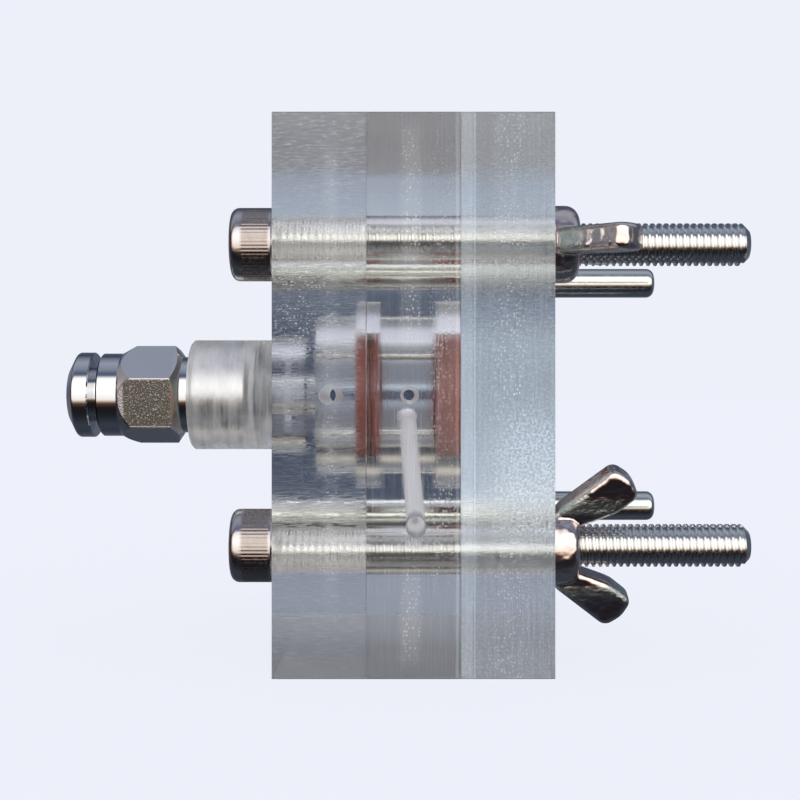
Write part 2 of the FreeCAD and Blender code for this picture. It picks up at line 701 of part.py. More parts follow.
def make_collet():
    """Gripping ring inside the barrel, slotted towards the mouth."""
    inner = "tube_bore_diameter / 2 + tube_passage_play"
    outer = "socket_bore_diameter / 2 - inner_play"
    outline = [("0", inner), ("collet_length", inner), ("collet_length", outer), ("0", outer)]
    x = BOSS_X + " - (%s) + %s - seal_ring_length - collet_gap - collet_length" % (
        FITTING_LENGTH, SEAT_X)
    collet = turned("tube_collet", outline, x, "0", AXIS_Z)
    sketch = new_sketch(collet, "collet_slot_outline", "XY_Plane")
    half = "collet_slot_width / 2"
    closed_outline(sketch, [
        (earlier("0"), "-(%s)" % half), ("collet_slot_depth", "-(%s)" % half),
        ("collet_slot_depth", half), (earlier("0"), half),
    ])
    before = collet.Shape.Volume
    slot = collet.newObject("PartDesign::Pocket", "collet_slot")
    slot.Profile = sketch
    slot.Reversed = True
    bind(slot, "Length", "socket_bore_diameter")
    doc.recompute()
    pattern = collet.newObject("PartDesign::PolarPattern", "collet_slots")
    pattern.Originals = [slot]
    pattern.Axis = (sketch, ["H_Axis"])
    pattern.Angle = 360
    pattern.Occurrences = 6
    collet.Tip = pattern
    doc.recompute()
    if collet.Shape.Volume > before - 1:
        raise RuntimeError("the slots of the collet cut nothing")
    return collet


def make_tube_seal():
    inner = "tube_bore_diameter / 2 + tube_passage_play"
    outer = "socket_bore_diameter / 2 - inner_play"
    outline = [("0", inner), ("seal_ring_length", inner), ("seal_ring_length", outer), ("0", outer)]
    x = BOSS_X + " - (%s) + %s - seal_ring_length" % (FITTING_LENGTH, SEAT_X)
    seal = turned("tube_seal", outline, x, "0", AXIS_Z)
    rounded(seal, [("0", inner), ("0", outer)],
            "min(seal_rounding; 0.45 * seal_ring_length; 0.45 * (%s - (%s)))" % (outer, inner))
    return seal


pieces = [make_gas_plate(), make_electrolyte_plate(), make_end_plate()]
pieces += make_seals()
pieces.append(make_electrode())
for side, word in ((1, "upper"), (-1, "lower")):
    pieces.append(make_screw("cap_screw_" + word, side))
    pieces.append(make_washer("washer_" + word, side))
    pieces.append(make_wing_nut("wing_nut_" + word, side, word + "_nut_degrees"))
    pieces.append(make_pin("dowel_pin_" + word, side))
pieces += [make_boss(), make_fitting_body(), make_release_ring(), make_collet(), make_tube_seal()]
doc.recompute()

for thing in doc.Objects:
    if "Invalid" in thing.State or "Error" in thing.State:
        raise RuntimeError("%s failed: %s" % (thing.Label, thing.State))
os.makedirs("parts", exist_ok=True)
for piece in pieces:
    shape = piece.Shape
    if shape.isNull() or not shape.isValid():
        raise RuntimeError("%s has no valid shape" % piece.Label)
    if len(shape.Solids) != 1:
        raise RuntimeError("%s has %d solids" % (piece.Label, len(shape.Solids)))
    shape.exportStep("parts/%s.step" % piece.Label)
    print("%-24s %9.2f mm3" % (piece.Label, shape.Volume))
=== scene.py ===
import bpy
import bmesh
import json
import math
from mathutils import Matrix, Vector


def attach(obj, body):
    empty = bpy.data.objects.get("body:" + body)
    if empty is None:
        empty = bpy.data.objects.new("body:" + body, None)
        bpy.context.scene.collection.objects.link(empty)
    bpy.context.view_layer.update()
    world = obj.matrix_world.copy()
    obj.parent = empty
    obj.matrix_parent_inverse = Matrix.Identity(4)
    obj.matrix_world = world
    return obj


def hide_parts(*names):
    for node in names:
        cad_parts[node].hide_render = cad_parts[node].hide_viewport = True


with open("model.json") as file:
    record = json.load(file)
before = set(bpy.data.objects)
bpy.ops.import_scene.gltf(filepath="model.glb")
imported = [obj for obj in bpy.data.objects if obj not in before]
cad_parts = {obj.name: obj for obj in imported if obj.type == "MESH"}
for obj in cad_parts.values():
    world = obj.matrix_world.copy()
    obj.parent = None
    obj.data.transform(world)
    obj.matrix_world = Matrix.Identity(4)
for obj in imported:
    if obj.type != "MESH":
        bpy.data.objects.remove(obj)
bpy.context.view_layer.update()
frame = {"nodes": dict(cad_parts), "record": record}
nodes = frame["nodes"]
mm = 0.001
perMetre = 1000
print("frame loaded:", len(nodes), "nodes")


# camera at the photograph's angle: level, straight at the stack's front face
camera = {"x": -0.94, "y": -167.6, "z": 30.41, "lens": 58.58, "shiftX": -0.0057, "shiftY": -0.0106,
          "clipStart": 0.005, "clipEnd": 20}

def addObject(name, data):
    item = bpy.data.objects.new(name, data)
    bpy.context.scene.collection.objects.link(item)
    return item

def addCamera():
    data = bpy.data.cameras.new("camera")
    data.lens = camera["lens"]
    data.shift_x = camera["shiftX"]
    data.shift_y = camera["shiftY"]
    data.clip_start = camera["clipStart"]
    data.clip_end = camera["clipEnd"]
    seat = addObject("camera", data)
    seat.location = (camera["x"] * mm, camera["y"] * mm, camera["z"] * mm)
    seat.rotation_euler = (math.radians(90), 0, 0)
    bpy.context.scene.camera = seat

addCamera()
print("camera set")


# node helpers, used by the world and by every material

def addNode(tree, kind, **values):
    node = tree.nodes.new(kind)
    for key, value in values.items():
        setattr(node, key, value)
    return node

def feed(tree, socket, value):
    # a link, a plain value, a colour as three numbers, or nothing
    if value is None:
        return
    if isinstance(value, bpy.types.NodeSocket):
        tree.links.new(value, socket)
    elif socket.type == "RGBA":
        socket.default_value = (*value, 1)
    else:
        socket.default_value = value

def feedAll(tree, node, values):
    for label, value in values.items():
        feed(tree, node.inputs[label], value)

def calc(tree, operation, *values, clamp=False):
    node = addNode(tree, "ShaderNodeMath", operation=operation, use_clamp=clamp)
    for socket, value in zip(node.inputs, values):
        feed(tree, socket, value)
    return node.outputs[0]

def minus(tree, a, b):
    return calc(tree, "SUBTRACT", a, b)

def scaleAdd(tree, value, share, base):
    return calc(tree, "MULTIPLY_ADD", value, share, base)

def most(tree, *values):
    result = values[0]
    for value in values[1:]:
        result = calc(tree, "MAXIMUM", result, value)
    return result

def times(tree, *values):
    result = values[0]
    for value in values[1:]:
        result = calc(tree, "MULTIPLY", result, value)
    return result

def total(tree, *values, clamp=False):
    result = values[0]
    for value in values[1:]:
        result = calc(tree, "ADD", result, value, clamp=clamp)
    return result

def layers(tree, *parts, clamp=False):
    # a sum in which each part in brackets is a product
    return total(tree, *[times(tree, *part) if isinstance(part, tuple) else part for part in parts],
                 clamp=clamp)

def reach(tree, across, up):
    return calc(tree, "SQRT", total(tree, times(tree, across, across), times(tree, up, up)))

def vectorCalc(tree, operation, *values):
    node = addNode(tree, "ShaderNodeVectorMath", operation=operation)
    for socket, value in zip(node.inputs, values):
        feed(tree, socket, value)
    return node.outputs

def smoothStep(tree, value, low, high, toLow=0.0, toHigh=1.0):
    node = addNode(tree, "ShaderNodeMapRange", interpolation_type="SMOOTHSTEP")
    feedAll(tree, node, {"Value": value, "From Min": low, "From Max": high, "To Min": toLow,
                         "To Max": toHigh})
    return node.outputs["Result"]

def mixColour(tree, factor, a, b, blend="MIX"):
    node = addNode(tree, "ShaderNodeMix", data_type="RGBA", blend_type=blend)
    feedAll(tree, node, {"Factor": factor, "A": a, "B": b})
    return node.outputs["Result"]

def mixValue(tree, factor, a, b):
    node = addNode(tree, "ShaderNodeMix", data_type="FLOAT")
    feedAll(tree, node, {"Factor": factor, "A": a, "B": b})
    return node.outputs["Result"]

def split(tree, vector):
    node = addNode(tree, "ShaderNodeSeparateXYZ")
    feed(tree, node.inputs[0], vector)
    return node.outputs

def objectPlace(tree):
    # object coordinates in millimetres
    mapping = addNode(tree, "ShaderNodeMapping")
    feedAll(tree, mapping, {"Vector": addNode(tree, "ShaderNodeTexCoord").outputs["Object"],
                            "Scale": (perMetre, perMetre, perMetre)})
    return mapping.outputs["Vector"]

def placeParts(tree):
    return split(tree, objectPlace(tree))

def noise(tree, place, scale, detail, roughness):
    node = addNode(tree, "ShaderNodeTexNoise")
    feedAll(tree, node, {"Vector": place, "Scale": scale, "Detail": detail, "Roughness": roughness})
    return node.outputs["Fac"]

def ramp(tree, value, stops):
    node = addNode(tree, "ShaderNodeValToRGB")
    elements = node.color_ramp.elements
    while len(elements) > 1:
        elements.remove(elements[-1])
    for index, (place, colour) in enumerate(stops):
        element = elements.new(place) if index else elements[0]
        element.position = place
        element.color = (*colour, 1)
    feed(tree, node.inputs["Fac"], value)
    return node.outputs["Color"]

def newTree(name):
    material = bpy.data.materials.new(name)
    material.use_nodes = True
    tree = material.node_tree
    tree.nodes.clear()
    return material, tree, addNode(tree, "ShaderNodeOutputMaterial").inputs["Surface"]

def linear(red, green, blue):
    # a colour as a screen shows it, 0 to 255, made linear
    return tuple(((v / 255 + 0.055) / 1.055) ** 2.4 if v > 10 else v / 3294.6
                 for v in (red, green, blue))


# studio: flat pale backdrop for the camera, a room with one bright window for gloss and glass
studio = {
    "backdrop": linear(237, 240, 249), "floorShadow": 0.05, "floorReach": 6,
    "fill": (0.92, 0.94, 1.0), "fillShares": ((0, 0.22), (1, 1.3)),
    "clearView": linear(150, 157, 170), "clearEdge": (-0.3, 0.1),
    # at the sides: where a tint starts and is full, its colour, and how it goes over the room
    "walls": (
        (-0.6, -0.85, (1.0, 0.8, 0.68), "MULTIPLY"),
        (-0.86, -0.96, linear(52, 58, 74), "MIX"),
        (0.86, 0.96, linear(86, 93, 108), "MIX"),
    ),
    # angle about the X axis from the camera's side (0) over the top (90) to behind (180), then the
    # colour as a screen shows it, or as plain light, under 2, where it outshines white
    "room": (
        (-180, 96, 104, 122), (-172, 112, 114, 126), (-166, 120, 122, 130), (-150, 86, 92, 104),
        (-120, 60, 67, 80), (-90, 64, 71, 82), (-62, 40, 43, 52), (-46, 34, 32, 38), (-34, 40, 34, 36),
        (-24, 100, 76, 62), (-19, 206, 178, 154), (-14, 1.3, 1.22, 1.13), (20, 1.85, 1.86, 1.86),
        (46, 1.45, 1.44, 1.42), (54, 120, 130, 158), (60, 92, 102, 130), (74, 148, 158, 180),
        (96, 172, 180, 196), (114, 140, 149, 168), (132, 70, 79, 100), (158, 86, 95, 112),
        (167, 124, 134, 152), (172, 128, 138, 156), (176, 100, 109, 127), (180, 96, 104, 122),
    ),
    # the same, as seen out through the acrylic: its sawn top and bottom faces glow
    "beyond": (
        (-180, 48, 60, 82), (-175.5, 50, 62, 84), (-172, 142, 150, 165), (-168, 134, 140, 153),
        (-160, 105, 108, 119), (-138, 105, 106, 114), (-126, 150, 147, 144), (-119, 206, 200, 187),
        (-110, 192, 186, 173), (-99, 70, 72, 80), (-80, 52, 56, 66), (-50, 24, 22, 25),
        (-25, 64, 58, 54), (-12, 160, 151, 138), (-3, 1.35, 1.32, 1.24), (20, 1.75, 1.73, 1.66),
        (50, 1.25, 1.23, 1.21), (75, 196, 198, 209), (118, 186, 190, 203), (140, 120, 124, 135),
        (160, 108, 114, 126), (167, 120, 128, 142), (169.6, 168, 177, 192), (171.5, 170, 180, 194),
        (173.5, 156, 167, 183), (176, 52, 64, 86), (180, 48, 60, 82),
    ),
}

def addWorld():
    world = bpy.data.worlds.new("studio")
    bpy.context.scene.world = world
    world.use_nodes = True
    tree = world.node_tree
    tree.nodes.clear()
    side, depth, height = split(tree, addNode(tree, "ShaderNodeTexCoord").outputs["Generated"])
    towards = times(tree, depth, -1.0)
    turn = scaleAdd(tree, calc(tree, "ARCTAN2", height, towards), 0.5 / math.pi, 0.5)
    room, beyond = [
        ramp(tree, turn, [(degrees / 360 + 0.5, colour if max(colour) < 2 else linear(*colour))
                          for degrees, *colour in studio[view]])
        for view in ("room", "beyond")]
    for low, high, colour, blend in studio["walls"]:
        room = mixColour(tree, smoothStep(tree, side, low, high), room, colour, blend)
    fill = ramp(tree, smoothStep(tree, height, -1, 1), [
        (place, [share * v for v in studio["fill"]]) for place, share in studio["fillShares"]])
    rays = addNode(tree, "ShaderNodeLightPath").outputs
    # what looks straight through the block from behind or above sees a paler room
    straight = times(tree, calc(tree, "LESS_THAN", rays["Glossy Depth"], 0.5),
                     smoothStep(tree, towards, *studio["clearEdge"]))
    beyond = mixColour(tree, straight, beyond, studio["clearView"])
    seen = mixColour(tree, rays["Is Glossy Ray"], fill, room)
    seen = mixColour(tree, rays["Is Transmission Ray"], seen, beyond)
    seen = mixColour(tree, rays["Is Camera Ray"], seen, studio["backdrop"])
    light = addNode(tree, "ShaderNodeBackground")
    feed(tree, light.inputs["Color"], seen)
    feed(tree, addNode(tree, "ShaderNodeOutputWorld").inputs["Surface"], light.outputs[0])

def meshOf(name, made):
    # a mesh with the shape of a bmesh, which is used up
    mesh = bpy.data.meshes.new(name)
    made.to_mesh(mesh)
    made.free()
    return mesh

def addFloor():
    made = bmesh.new()
    bmesh.ops.create_grid(made, x_segments=1, y_segments=1, size=studio["floorReach"])
    floor = addObject("floor", meshOf("floor", made))
    material, tree, surface = newTree("paleFloor")
    plain = addNode(tree, "ShaderNodeEmission")
    shaded = addNode(tree, "ShaderNodeBsdfDiffuse")
    for node in (plain, shaded):
        feed(tree, node.inputs["Color"], studio["backdrop"])
    blend = addNode(tree, "ShaderNodeMixShader")
    for socket, value in zip(blend.inputs, (studio["floorShadow"], plain.outputs[0], shaded.outputs[0])):
        feed(tree, socket, value)
    feed(tree, surface, blend.outputs[0])
    floor.data.materials.append(material)
    floor.visible_glossy = False
    floor.visible_transmission = False

addWorld()
addFloor()
bpy.context.scene.view_settings.view_transform = "Standard"
print("studio set")


# mesh helpers

def along(x, y, z):
    # stands a shape whose own axis is Z along X, starting at the given place in millimetres
    return Matrix.Translation((x * mm, y * mm, z * mm)) @ Matrix.Rotation(math.radians(90), 4, "Y")

def cadCopy(node):
    # the shape of a CAD node to work on, with the corners of its faces joined
    made = bmesh.new()
    made.from_mesh(nodes[node].data)
    bmesh.ops.remove_doubles(made, verts=made.verts, dist=1e-7)
    return made

def dress(name, mesh, body, replaced, sharpAngle):
    # a mesh becomes a piece that rides on a body, smooth but for its sharp edges
    mesh.name = name
    mesh.materials.clear()
    if "custom_normal" in mesh.attributes:
        mesh.attributes.remove(mesh.attributes["custom_normal"])
    mesh.polygons.foreach_set("use_smooth", [True] * len(mesh.polygons))
    mesh.set_sharp_from_angle(angle=math.radians(sharpAngle))
    piece = addObject(name, mesh)
    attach(piece, body)
    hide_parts(*replaced)
    return piece

def applied(piece):
    # the mesh with its modifiers in it
    bpy.context.view_layer.update()
    seen = piece.evaluated_get(bpy.context.evaluated_depsgraph_get())
    return bpy.data.meshes.new_from_object(seen)

def hole(diameter, x0, x1, y, z, segments):
    # closed round bar along X, to drill with
    made = bmesh.new()
    bmesh.ops.create_cone(
        made, cap_ends=True, segments=segments, radius1=diameter / 2 * mm,
        radius2=diameter / 2 * mm, depth=(x1 - x0) * mm,
        matrix=along((x0 + x1) / 2, y, z))
    return made

def subtract(name, made, cutters):
    # drills a closed bmesh with a list of closed bmeshes, one after another
    piece = addObject(name + "Blank", meshOf(name, made))
    drills = []
    for index, cutter in enumerate(cutters):
        label = "%sDrill%d" % (name, index)
        drills.append(addObject(label, meshOf(label, cutter)))
        modifier = piece.modifiers.new("drill%d" % index, "BOOLEAN")
        modifier.operation = "DIFFERENCE"
        modifier.solver = "EXACT"
        modifier.object = drills[-1]
    result = applied(piece)
    for spent in [piece] + drills:
        bpy.data.objects.remove(spent)
    return result


# plates: sawn and milled acrylic, a hair apart so that each joint mirrors like the real one
plates = {
    "size": 60, "thickness": 10, "edgeBreak": 0.04, "airGap": 0.012, "sharpAngle": 12,
    "screwY": -16, "screwSpread": 17.5, "tappedHole": 5.04, "screwHole": 5.5,
    "pinY": 14, "pinSpread": 15.5, "pressHole": 4.02, "slideHole": 4.12,
    "axisZ": 30, "chamber": 19, "recess": 22.6, "gasDepth": 6.4,
    "gasRecess": 1.6, "electrolyteRecess": 1.15, "endRecess": 2.3,
    "bossSeat": 14.04, "bossSpigot": 2.3, "gasBore": 4.8, "port": 1.8,
    "gasPortX": -9.1, "fillPortX": -0.4, "fillTaper": 0.6, "channel": 2.0,
    "channelMouth": (0.28, -30, 16.1), "channelEnd": (-0.6, -9.5, 27.3), "channelOverrun": 0.5,
    "boreSegments": 160, "holeSegments": 72, "channelSegments": 64, "portSegments": 48,
}
overrun = 1

def plateBlank(x0, x1):
    made = bmesh.new()
    bmesh.ops.create_cube(made, size=1)
    size = plates["size"]
    bmesh.ops.scale(made, verts=made.verts, vec=((x1 - x0) * mm, size * mm, size * mm))
    bmesh.ops.translate(made, verts=made.verts, vec=((x0 + x1) / 2 * mm, 0, size / 2 * mm))
    bmesh.ops.bevel(made, geom=made.edges[:], offset=plates["edgeBreak"] * mm, affect="EDGES",
                    segments=2, profile=0.5, material=-1, clamp_overlap=True)
    return made

def bore(diameter, x0, x1):
    # wide hole on the axis of the stack
    return hole(plates[diameter], x0, x1, 0, plates["axisZ"], plates["boreSegments"])

def fourHoles(x0, x1, screwHole, pinHole):
    drills = []
    for side in (1, -1):
        for diameter, kind in ((screwHole, "screw"), (pinHole, "pin")):
            z = plates["axisZ"] + side * plates[kind + "Spread"]
            drills.append(hole(plates[diameter], x0 - overrun, x1 + overrun, plates[kind + "Y"], z,
                               plates["holeSegments"]))
    return drills

def frontPort(x, taper):
    # small hole from the front face to the middle of a chamber
    made = bmesh.new()
    front = plates["size"] / 2 + overrun
    radius = plates["port"] / 2
    place = Matrix.Translation((x * mm, -front / 2 * mm, plates["axisZ"] * mm))
    bmesh.ops.create_cone(made, cap_ends=True, segments=plates["portSegments"], radius1=radius * mm,
                          radius2=radius * taper * mm, depth=front * mm,
                          matrix=place @ Matrix.Rotation(math.radians(-90), 4, "X"))
    return made

def slantedChannel():
    mouth = Vector(plates["channelMouth"])
    end = Vector(plates["channelEnd"])
    run = (end - mouth).normalized()
    start = mouth - run * plates["channel"]
    stop = end + run * plates["channelOverrun"]
    radius = plates["channel"] / 2 * mm
    made = bmesh.new()
    bmesh.ops.create_cone(made, cap_ends=True, segments=plates["channelSegments"], radius1=radius,
                          radius2=radius, depth=(stop - start).length * mm,
                          matrix=Matrix.Translation((start + stop) / 2 * mm)
                          @ run.to_track_quat("Z", "Y").to_matrix().to_4x4())
    return made

def addPlates():
    gap = plates["airGap"] / 2
    half = plates["thickness"] / 2
    leftX = -half - plates["thickness"]
    rightX = half + plates["thickness"]
    gas = fourHoles(leftX, -half, "tappedHole", "pressHole") + [
        bore("chamber", -half - plates["gasDepth"], -half + overrun),
        bore("recess", -half - plates["gasRecess"], -half + overrun),
        bore("bossSeat", leftX - overrun, leftX + plates["bossSpigot"]),
        hole(plates["gasBore"], leftX, -half, 0, plates["axisZ"], plates["holeSegments"]),
        frontPort(plates["gasPortX"], 1.0)]
    electrolyte = fourHoles(-half, half, "screwHole", "slideHole") + [
        bore("chamber", -half - overrun, half + overrun),
        bore("recess", -half - overrun, -half + plates["electrolyteRecess"]),
        bore("recess", half - plates["endRecess"], half + overrun),
        frontPort(plates["fillPortX"], plates["fillTaper"]),
        slantedChannel()]
    end = fourHoles(half, rightX, "screwHole", "slideHole")
    made = {}
    for name, node, x0, x1, drills in (
            ("gasPlate", "gas_plate", leftX + gap, -half - gap, gas),
            ("electrolytePlate", "electrolyte_plate", -half + gap, half - gap, electrolyte),
            ("endPlate", "end_plate", half + gap, rightX, end)):
        mesh = subtract(name, plateBlank(x0, x1), drills)
        made[name] = dress(name, mesh, "cell", (node,), plates["sharpAngle"])
        print(name, len(mesh.polygons), "faces")
    return made

plate = addPlates()
print("plates drilled")


# screws: rolled thread with a straight-knurled head
screw = {
    "underHead": -16, "tip": 39, "y": -16, "z": (47.5, 12.5), "sharpAngle": 32,
    "radius": 2.48, "pitch": 0.8, "threadDepth": 0.36, "steps": 40, "tipChamfer": 0.8,
    # one pitch of the thread: place along it and share of the depth
    "outline": ((0, 1), (0.24, 1), (0.48, 0), (0.76, 0), (1, 1)), "runIn": 1.2, "rooted": 0.5,
    "headRadius": 4.25, "headHeight": 5, "rimRounding": 0.95, "rimSteps": 8, "footChamfer": 0.2,
    "ribs": 64, "ribSides": 6, "ribDepth": 0.036, "ribCurve": 0.8, "ribStart": 0.42, "ribEnd": 3.55,
    "ribRise": 0.12, "ribFall": 0.16, "socket": 4.0, "socketDepth": 2.5, "socketSides": 6,
    "threadPolish": 0.2, "knurlPolish": 0.27, "headTone": (0.62, 0.58, 0.57),
    # knurl tone: darker, to paint the shade that falls between the knurl's ribs
    "knurlShadeTone": (0.42, 0.36, 0.33), "headEdge": 0.02, "knurlEdge": 0.25,
}

def threadShape():
    # one pitch of the thread's outline, wound along X and cut square at both ends
    x0, x1 = screw["underHead"] - screw["rooted"], screw["tip"]
    radius, pitch, steps = screw["radius"], screw["pitch"], screw["steps"]
    turns = math.ceil((x1 - x0) / pitch) + 2
    start = x0 - pitch * screw["runIn"]
    made = bmesh.new()
    points = [made.verts.new(((start + share * pitch) * mm, 0,
                              (radius - screw["threadDepth"] * deep) * mm))
              for share, deep in screw["outline"]]
    edges = [made.edges.new(pair) for pair in zip(points, points[1:])]
    bmesh.ops.spin(made, geom=points + edges, cent=(0, 0, 0), axis=(1, 0, 0),
                   dvec=(pitch / steps * mm, 0, 0), angle=math.tau * turns, steps=steps * turns,
                   use_merge=False, use_duplicate=False)
    bmesh.ops.remove_doubles(made, verts=made.verts, dist=2e-7)
    for place, keepRight in ((x0, True), (x1, False)):
        cut = bmesh.ops.bisect_plane(
            made, geom=made.verts[:] + made.edges[:] + made.faces[:], dist=1e-8,
            plane_co=(place * mm, 0, 0), plane_no=(1, 0, 0), clear_inner=keepRight,
            clear_outer=not keepRight)
        rim = [item for item in cut["geom_cut"] if isinstance(item, bmesh.types.BMEdge)]
        bmesh.ops.edgeloop_fill(made, edges=rim)
    tipRadius = radius - screw["tipChamfer"]
    for vert in made.verts:
        limit = tipRadius * mm + max(x1 * mm - vert.co.x, 0)
        away = math.hypot(vert.co.y, vert.co.z)
        if away > limit:
            vert.co.y *= limit / away
            vert.co.z *= limit / away
    bmesh.ops.recalc_face_normals(made, faces=made.faces)
    return made

def knurledHead():
    # loops from the underside to the rim, with ribs pressed into the middle ones
    head = screw["headRadius"]
    foot = screw["underHead"]
    ribStart, ribEnd = foot - screw["ribStart"], foot - screw["ribEnd"]
    loops = [(foot, head - screw["footChamfer"], 0), (foot - screw["footChamfer"], head, 0),
             (ribStart, head, 0), (ribStart - screw["ribRise"], head, 1),
             (ribEnd + screw["ribFall"], head, 1), (ribEnd, head, 0)]
    rim = screw["rimRounding"]
    crown = foot - screw["headHeight"]
    for step in range(screw["rimSteps"] + 1):
        turn = math.radians(90 * step / screw["rimSteps"])
        loops.append((crown + rim - rim * math.sin(turn), head - rim + rim * math.cos(turn), 0))
    made = bmesh.new()
    bmesh.ops.create_circle(made, cap_ends=False, segments=screw["ribs"] * screw["ribSides"],
                            radius=head * mm, matrix=along(0, 0, 0))
    edges = made.edges[:]
    ring = made.verts[:]
    for index, (x, radius, ribbed) in enumerate(loops):
        if index:
            grown = bmesh.ops.extrude_edge_only(made, edges=edges)["geom"]
            ring = [item for item in grown if isinstance(item, bmesh.types.BMVert)]
            edges = [item for item in grown if isinstance(item, bmesh.types.BMEdge)
                     and all(vert in ring for vert in item.verts)]
        for vert in ring:
            angle = math.atan2(vert.co.z, vert.co.y)
            wave = 0.5 + 0.5 * math.cos(angle * screw["ribs"])
            away = radius - ribbed * screw["ribDepth"] * (1 - wave ** screw["ribCurve"])
            vert.co = (x * mm, away * math.cos(angle) * mm, away * math.sin(angle) * mm)
    bmesh.ops.holes_fill(made, edges=made.edges, sides=0)
    bmesh.ops.recalc_face_normals(made, faces=made.faces)
    socket = hole(screw["socket"] / math.sqrt(3) * 2, crown - overrun, crown + screw["socketDepth"],
                  0, 0, screw["socketSides"])
    return subtract("screwHead", made, [socket])

def addScrews():
    made = {}
    parts = [knurledHead(), meshOf("screwThreadShape", threadShape())]
    for word, z in zip(("upper", "lower"), screw["z"]):
        both = bmesh.new()
        for mesh in parts:
            both.from_mesh(mesh)
        bmesh.ops.translate(both, verts=both.verts, vec=(0, screw["y"] * mm, z * mm))
        bmesh.ops.remove_doubles(both, verts=both.verts, dist=1e-8)
        name = word + "Screw"
        made[word] = dress(name, meshOf(name, both), "cell", ("cap_screw_" + word,),
                           screw["sharpAngle"])
    for mesh in parts:
        bpy.data.meshes.remove(mesh)
    return made

screws = addScrews()
print("screws threaded and knurled:", len(screws["upper"].data.polygons), "faces each")


# wing nuts: cast, so their edges and roots are blended
wingNut = {"voxel": 0.13, "softening": 18, "factor": 0.5, "sharpAngle": 180}

def addWingNuts():
    made = {}
    for word in ("upper", "lower"):
        node = "wing_nut_" + word
        cast = addObject(node + "Blank", meshOf(node, cadCopy(node)))
        skin = cast.modifiers.new("skin", "REMESH")
        skin.mode = "VOXEL"
        skin.voxel_size = wingNut["voxel"] * mm
        soften = cast.modifiers.new("soften", "SMOOTH")
        soften.iterations = wingNut["softening"]
        soften.factor = wingNut["factor"]
        result = applied(cast)
        bpy.data.objects.remove(cast)
        made[word] = dress(word + "WingNut", result, "nut_" + word, (node,),
                           wingNut["sharpAngle"])
        print(word, "wing nut", len(result.polygons), "faces")
    return made

wingNuts = addWingNuts()
print("wing nuts cast")


# fitting body: the CAD shape with its barrel drawn out a little towards the hexagon
fitting = {
    "leadStart": -37.7, "leadEnd": -35.6, "leadRadius": 5.2, "leadShift": 0.6, "sharpAngle": 18,
    "hexagon": (-36.8, -30.1), "turn": 11, "flat": 3.17, "facing": (5.2, 5.4), "soft": 0.1,
    "rim": 0.9, "rimSoft": 0.3, "edge": 0.3, "rimShare": 0.75,
    "turned": 0.07, "brushed": 0.36, "tumbled": 0.25, "sparkle": 0.04, "brush": 0.008,
    # bevel: a paler, bluish tone on the flats' edges that paints the highlight of the hexagon's bevel
    "khaki": (0.19, 0.185, 0.17), "speck": (0.8, 0.8, 0.78), "bevel": (0.86, 0.88, 0.96),
}

def addFittingBody():
    made = cadCopy("fitting_body")
    for vert in made.verts:
        away = math.hypot(vert.co.y, vert.co.z - plates["axisZ"] * mm)
        if (fitting["leadStart"] * mm < vert.co.x < fitting["leadEnd"] * mm
                and away > fitting["leadRadius"] * mm):
            vert.co.x += fitting["leadShift"] * mm
    return dress("fittingBody", meshOf("fittingBody", made), "cell", ("fitting_body",),
                 fitting["sharpAngle"])

fittingBody = addFittingBody()
print("fitting body drawn out:", len(fittingBody.data.polygons), "faces")


# shared effects: node groups that several materials use, each with its own values
# acrylic: frostGlow is the strength of a painted glow, put through Emission Color, that stands in for
# the light frosted places scatter; the port, wall and channel amounts and tones set that glow on their
# walls
acrylic = {
    "tint": (0.98, 0.987, 0.99), "ior": 1.49, "frostGlow": 0.62, "haze": 0.2, "gloss": (0.4, 0.4, 0.4),
    "polished": 0.015, "front": (0.04, 0.075), "back": 0.09, "backTop": 0.3, "sawn": 0.5,
    "bored": 0.03, "drilled": 0.22, "tapped": 0.2, "port": 0.5, "channel": 0.85, "dullBand": 0.1,
    "relief": 0.02, "tappedDepth": 0.12, "portGlow": 0.26, "channelGlow": 0.42, "mouthShade": -0.75,
    "wallGlow": 0.27, "wallGlowTone": (0.96, 0.94, 0.88), "channelGlowTone": (0.87, 0.87, 0.94),
    # where a zone starts and where it is full: off a wall, off a face, or at a depth
    "portEdge": (0.08, 0.03), "wallEdge": (0.12, 0.05), "channelEdge": (0.12, 0.04),
    "faceEdge": (0.03, 0.01), "rimEdge": (0.05, 0.038), "endEdge": (0.16, 0.14),
    "inward": (-8.4, -8.9), "chamberDepth": (11.4, 11.2), "backRise": (51, 59),
}

def newGroup(name, given, made, **kinds):
    # its sockets are named in two lists of words; they carry numbers where no other kind is given
    group = bpy.data.node_groups.new(name, "ShaderNodeTree")
    for side, words in (("INPUT", given), ("OUTPUT", made)):
        for label in words.split():
            group.interface.new_socket(name=label, in_out=side,
                                       socket_type="NodeSocket" + kinds.get(label, "Float"))
    return group, addNode(group, "NodeGroupInput").outputs, addNode(group, "NodeGroupOutput").inputs

def useGroup(tree, name, **values):
    node = addNode(tree, "ShaderNodeGroup", node_tree=effects[name])
    feedAll(tree, node, values)
    return node.outputs

def stripe(tree, value, low, high, soft):
    return useGroup(tree, "band", value=value, low=low, high=high, soft=soft)["mask"]

def patch(tree, x, z, centre, size, soft=0.5):
    return useGroup(tree, "spot", x=x, z=z, centreX=centre[0], centreZ=centre[1],
                    reachX=size[0], reachZ=size[1], soft=soft)["mask"]

def grain(tree, stretch, scale, low, high, detail=6.0, roughness=0.72):
    return useGroup(tree, "grain", stretch=[perMetre * share for share in stretch], scale=scale,
                    low=low, high=high, detail=detail, roughness=roughness)

def cloudy(tree, stretch, scale):
    return grain(tree, stretch, scale, 0.35, 0.65, 3, 0.5)["mask"]

def bumpy(tree, scale, detail, roughness=0.5):
    return grain(tree, (1, 1, 1), scale, 0, 1, detail, roughness)["height"]

def flecks(tree, x, z, stretch, scale, share):
    return useGroup(tree, "flecks", x=x, z=z, stretchX=stretch[0], stretchZ=stretch[1],
                    scale=scale, share=share)["mask"]

